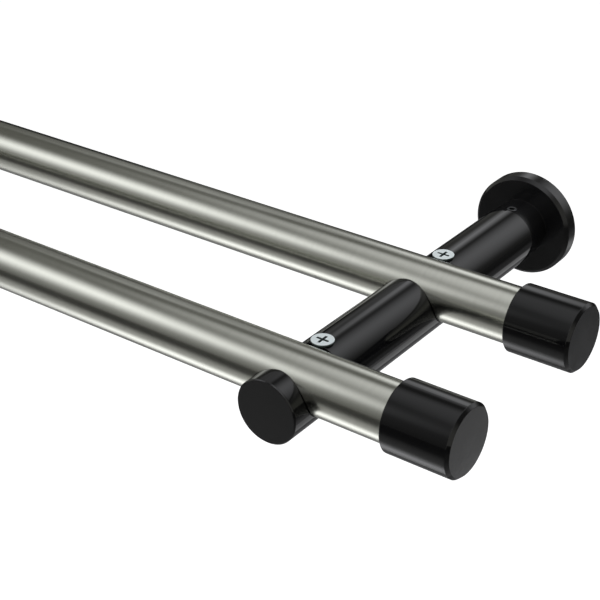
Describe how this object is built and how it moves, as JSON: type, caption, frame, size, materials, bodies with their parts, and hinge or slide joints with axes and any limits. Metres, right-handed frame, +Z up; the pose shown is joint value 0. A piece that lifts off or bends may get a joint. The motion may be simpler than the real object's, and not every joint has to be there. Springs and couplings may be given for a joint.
{
  "type": "double curtain pole",
  "caption": "Wall-fixed double curtain pole: brushed steel tubes with black end caps, held one behind the other on round black bracket arms with wall discs.",
  "frame": {"origin": "on the wall plane, halfway between the two wall screws and level with the bracket arms", "axes": "+X along the poles, to the right seen from the room; +Y towards the wall; +Z up"},
  "size_m": [1.204, 0.165, 0.0394],
  "materials": {
    "brushed_tube": "fine brushed stainless steel, satin, slightly warm grey",
    "black_lacquer": "smooth black lacquer, semi-gloss",
    "black_arm": "smooth black lacquer on turned aluminium, semi-gloss",
    "dark_grub": "blackened steel, faintly oily",
    "zinc_screw": "bright zinc plate, bluish white"
  },
  "bodies": {
    "root": {"front_pole": "brushed_tube", "rear_pole": "brushed_tube", "front_left_cap": "black_lacquer", "front_right_cap": "black_lacquer", "rear_left_cap": "black_lacquer", "rear_right_cap": "black_lacquer", "front_left_cap_grub_screw": "dark_grub", "front_right_cap_grub_screw": "dark_grub", "rear_left_cap_grub_screw": "dark_grub", "rear_right_cap_grub_screw": "dark_grub", "left_bracket_arm": "black_arm", "right_bracket_arm": "black_arm", "left_wall_disc": "black_arm", "right_wall_disc": "black_arm", "left_hub_grub_screw": "dark_grub", "right_hub_grub_screw": "dark_grub", "left_front_clamp_screw": "zinc_screw", "left_rear_clamp_screw": "zinc_screw", "right_front_clamp_screw": "zinc_screw", "right_rear_clamp_screw": "zinc_screw"}
  },
  "joints": []
}
